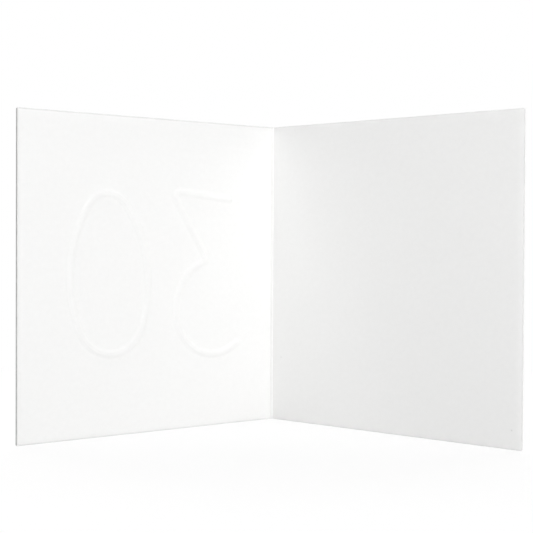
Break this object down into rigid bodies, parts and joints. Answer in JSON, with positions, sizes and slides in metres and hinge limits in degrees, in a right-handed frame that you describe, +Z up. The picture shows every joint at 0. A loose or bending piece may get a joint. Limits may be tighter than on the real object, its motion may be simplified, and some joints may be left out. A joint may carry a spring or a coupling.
{
  "type": "greeting card",
  "caption": "Square card of heavy white board with a single upright fold, standing open, its front cover pressed with plain figures.",
  "frame": {"origin": "on the ground under the middle of the box around the open card", "axes": "+Z up along the fold; +Y towards the fold, so the card opens towards -Y; -X is the front cover's side"},
  "size_m": [0.2238, 0.1014, 0.15],
  "materials": {
    "board": "smooth uncoated white, matt, with faint fibres"
  },
  "bodies": {
    "root": {"folded_card": "board"}
  },
  "joints": []
}
